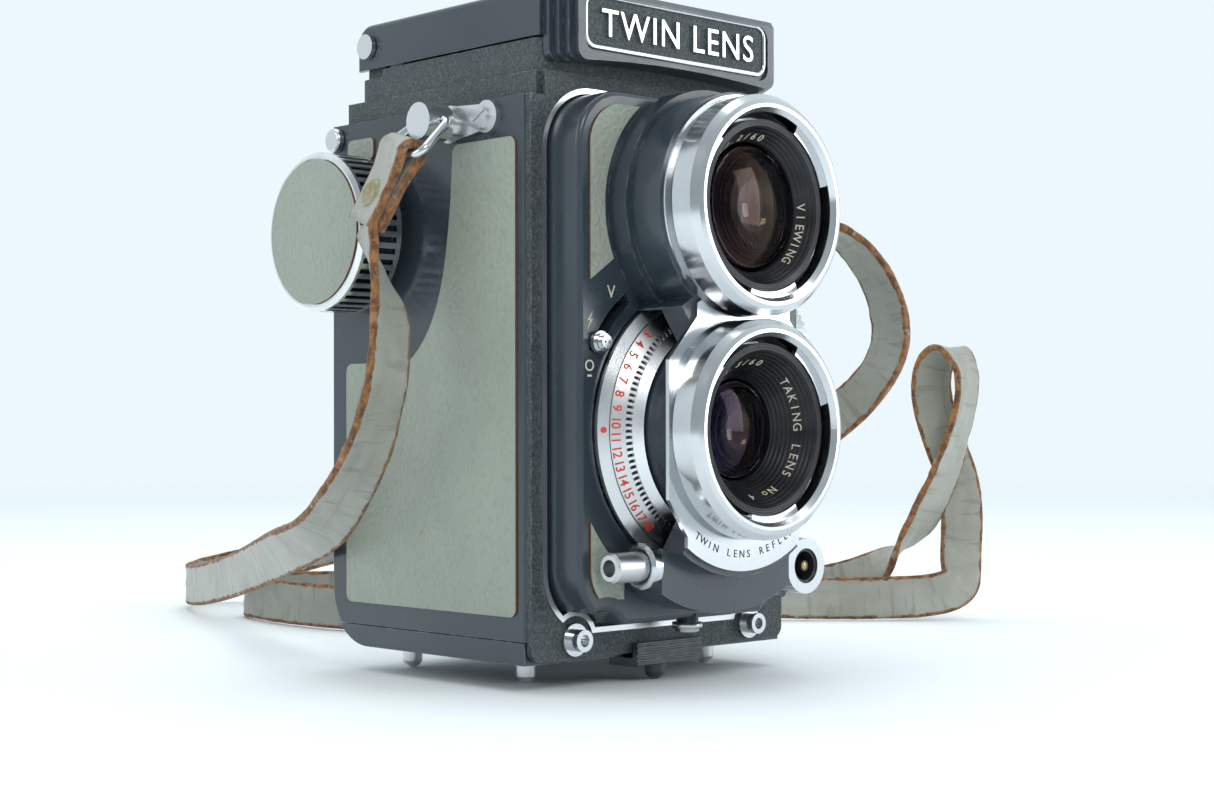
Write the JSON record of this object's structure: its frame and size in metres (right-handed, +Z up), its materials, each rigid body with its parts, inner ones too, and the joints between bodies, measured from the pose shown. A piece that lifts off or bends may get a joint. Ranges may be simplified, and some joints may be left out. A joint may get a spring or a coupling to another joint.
{
  "type": "twin lens reflex camera",
  "caption": "Compact grey twin lens reflex camera with knob winding, folding hood, hinged back, focusing lens panel and riveted leather neck strap.",
  "frame": {"origin": "on the plane of the feet, below the middle of the camera measured over its knobs and lenses", "axes": "+Z up, the lenses look along -Y, +X to the right as seen from the front"},
  "size_m": [0.1919, 0.2269, 0.124],
  "materials": {
    "gloss_paint": "smooth blue-grey enamel",
    "crinkle_paint": "dark crinkle enamel",
    "inner_black": "matt black",
    "chrome": "satin chrome",
    "polished_chrome": "polished chrome",
    "aluminium": "satin",
    "grey_leather": "fine pebble grain",
    "strap_leather": "smooth grey with raw brown edges",
    "lens_black": "black anodised",
    "coated_glass": "polished, coated",
    "ground_glass": "matt ground",
    "mirror_glass": "front silvered",
    "steel": "brushed",
    "black_plastic": "matt"
  },
  "bodies": {
    "camera_body": {"body_casting": "crinkle_paint", "front_cover": "crinkle_paint", "front_trim": "polished_chrome", "side_cover_left": "gloss_paint", "side_cover_right": "gloss_paint", "side_leathers": "grey_leather", "door_hinge_pin": "chrome", "film_gate": "inner_black", "film_rollers": "steel", "mirror": "mirror_glass", "focusing_screen": "ground_glass", "hood_frame": "crinkle_paint", "hood_pivots": "chrome", "front_studs": "chrome", "strap_lugs": "chrome", "strap_left_run": "strap_leather", "strap_far_run": "strap_leather", "strap_right_run": "strap_leather"},
    "winding": {"winding_knob": "chrome", "winding_knob_leather": "grey_leather", "take_up_spool": "black_plastic"},
    "supply_spool": {"supply_spool": "black_plastic"},
    "take_up_spool_knob": {"take_up_spool_knob": "chrome"},
    "supply_spool_knob": {"supply_spool_knob": "chrome"},
    "focusing": {"focus_knob": "chrome", "focus_cams": "steel"},
    "back_door": {"back_door": "gloss_paint", "back_leather": "grey_leather", "tripod_socket": "chrome", "base_feet": "chrome", "pressure_springs": "steel"},
    "pressure_plate": {"pressure_plate": "inner_black"},
    "door_latch": {"door_latch": "gloss_paint"},
    "hood_lid": {"hood_lid": "gloss_paint", "hood_nameplate": "gloss_paint", "magnifier_arm": "inner_black", "magnifier_lens": "coated_glass"},
    "side_flap_left": {"side_flap_left": "inner_black"},
    "side_flap_right": {"side_flap_right": "inner_black"},
    "front_flap": {"front_flap": "inner_black"},
    "lens_panel": {"lens_panel": "gloss_paint", "panel_leathers": "grey_leather", "lens_faceplate": "aluminium", "bayonet_rings": "chrome", "viewing_lens_mount": "lens_black", "taking_lens_mount": "lens_black", "viewing_lens_glass": "coated_glass", "taking_lens_glass": "coated_glass", "shutter_unit": "inner_black", "release_collar": "chrome", "flash_socket": "chrome"},
    "exposure_dial": {"exposure_dial": "aluminium"},
    "shutter_speed_dial": {"shutter_speed_dial": "aluminium"},
    "selector_lever": {"selector_lever": "chrome"},
    "release_button": {"release_button": "chrome"},
    "flash_lock_ring": {"flash_lock_ring": "chrome"},
    "strap_ring_left": {"strap_ring_left": "polished_chrome", "strap_end_left": "strap_leather"},
    "strap_ring_right": {"strap_ring_right": "polished_chrome", "strap_end_right": "strap_leather"}
  },
  "joints": [
    {"name": "film_winding", "type": "hinge", "parent": "camera_body", "child": "winding", "pos_m": [-0.03, 0.0299, 0.0829], "axis": [-1, 0, 0], "continuous": true},
    {"name": "supply_spool_turn", "type": "hinge", "parent": "camera_body", "child": "supply_spool", "pos_m": [0, 0.022, 0.0158], "axis": [-1, 0, 0], "continuous": true},
    {"name": "take_up_spool_knob_pull", "type": "slide", "parent": "camera_body", "child": "take_up_spool_knob", "axis": [1, 0, 0], "range_m": [0, 0.005]},
    {"name": "supply_spool_knob_pull", "type": "slide", "parent": "camera_body", "child": "supply_spool_knob", "axis": [1, 0, 0], "range_m": [0, 0.005]},
    {"name": "focus_knob_turn", "type": "hinge", "parent": "camera_body", "child": "focusing", "pos_m": [0.03, -0.002, 0.062], "axis": [1, 0, 0], "range_deg": [0, 270]},
    {"name": "lens_panel_slide", "type": "slide", "parent": "camera_body", "child": "lens_panel", "axis": [0, -1, 0], "range_m": [0, 0.004]},
    {"name": "back_door_hinge", "type": "hinge", "parent": "camera_body", "child": "back_door", "pos_m": [0, 0.0385, 0.1018], "axis": [1, 0, 0], "range_deg": [0, 100], "deforming": ["strap_far_run"]},
    {"name": "pressure_plate_float", "type": "slide", "parent": "back_door", "child": "pressure_plate", "axis": [0, 1, 0], "range_m": [0, 0.0004], "stiffness_N_per_m": 400},
    {"name": "door_latch_turn", "type": "hinge", "parent": "back_door", "child": "door_latch", "pos_m": [0, -0.0128, 0.0056], "axis": [1, 0, 0], "range_deg": [0, 35]},
    {"name": "hood_lid_hinge", "type": "hinge", "parent": "camera_body", "child": "hood_lid", "pos_m": [0, 0.0332, 0.1196], "axis": [-1, 0, 0], "range_deg": [0, 90]},
    {"name": "side_flap_left_hinge", "type": "hinge", "parent": "camera_body", "child": "side_flap_left", "pos_m": [-0.0266, 0, 0.1156], "axis": [0, -1, 0], "range_deg": [0, 90]},
    {"name": "side_flap_right_hinge", "type": "hinge", "parent": "camera_body", "child": "side_flap_right", "pos_m": [0.0266, 0, 0.1156], "axis": [0, 1, 0], "range_deg": [0, 90]},
    {"name": "front_flap_hinge", "type": "hinge", "parent": "camera_body", "child": "front_flap", "pos_m": [0, -0.0129, 0.117], "axis": [1, 0, 0], "range_deg": [0, 90]},
    {"name": "exposure_dial_turn", "type": "hinge", "parent": "lens_panel", "child": "exposure_dial", "pos_m": [0, -0.0174, 0.046], "axis": [0, -1, 0], "range_deg": [-11, 11]},
    {"name": "shutter_speed_dial_turn", "type": "hinge", "parent": "lens_panel", "child": "shutter_speed_dial", "pos_m": [0, -0.0174, 0.046], "axis": [0, -1, 0], "range_deg": [-11, 11]},
    {"name": "selector_turn", "type": "hinge", "parent": "lens_panel", "child": "selector_lever", "pos_m": [0, -0.0174, 0.046], "axis": [0, -1, 0], "range_deg": [-19, 0]},
    {"name": "release_press", "type": "slide", "parent": "lens_panel", "child": "release_button", "axis": [1, 0, 0], "range_m": [0, 0.003], "stiffness_N_per_m": 150},
    {"name": "flash_lock_turn", "type": "hinge", "parent": "lens_panel", "child": "flash_lock_ring", "pos_m": [0.022, -0.0174, 0.0206], "axis": [0, -1, 0], "range_deg": [0, 60]},
    {"name": "strap_ring_left_hinge", "type": "hinge", "parent": "camera_body", "child": "strap_ring_left", "pos_m": [-0.038, 0.003, 0.101], "axis": [0, 1, 0], "range_deg": [0, 20], "deforming": ["strap_left_run"]},
    {"name": "strap_ring_right_hinge", "type": "hinge", "parent": "camera_body", "child": "strap_ring_right", "pos_m": [0.038, 0.003, 0.101], "axis": [0, -1, 0], "range_deg": [0, 20], "deforming": ["strap_right_run"]}
  ],
  "couplings": [
    {"joint": "focus_knob_turn", "follows": "lens_panel_slide", "rad_per_m": 1178.1},
    {"joint": "side_flap_left_hinge", "follows": "hood_lid_hinge", "ratio": 1},
    {"joint": "side_flap_right_hinge", "follows": "hood_lid_hinge", "ratio": 1},
    {"joint": "front_flap_hinge", "follows": "hood_lid_hinge", "ratio": 1}
  ]
}
